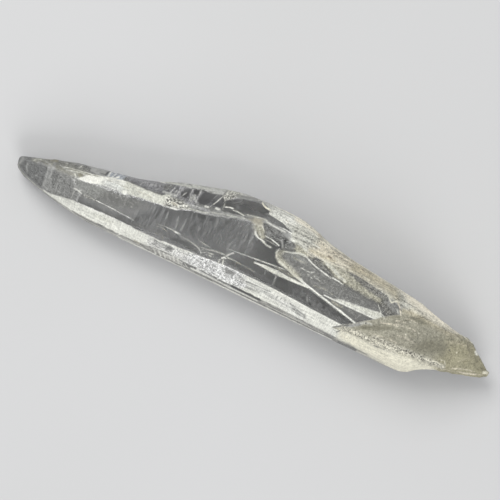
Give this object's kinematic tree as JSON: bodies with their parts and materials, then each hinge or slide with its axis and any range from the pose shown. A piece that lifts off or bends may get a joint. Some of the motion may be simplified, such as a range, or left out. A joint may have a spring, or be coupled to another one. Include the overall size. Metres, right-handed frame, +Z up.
{
  "type": "quartz crystal",
  "caption": "Long tapering clear quartz point lying on a prism face: glassy main face, frosted side faces, chipped edge and a rough broken base.",
  "frame": {"origin": "on the resting plane, under the centre of the bounding box", "axes": "+X from the terminated tip to the broken base, +Y from the long straight edge to the bulging edge, +Z up out of the widest prism face"},
  "size_m": [0.112, 0.021, 0.016],
  "materials": {
    "clear_quartz": "glassy clear prism face with milky frosted side faces and a matt, pale olive broken base"
  },
  "bodies": {
    "root": {"crystal": "clear_quartz"}
  },
  "joints": []
}
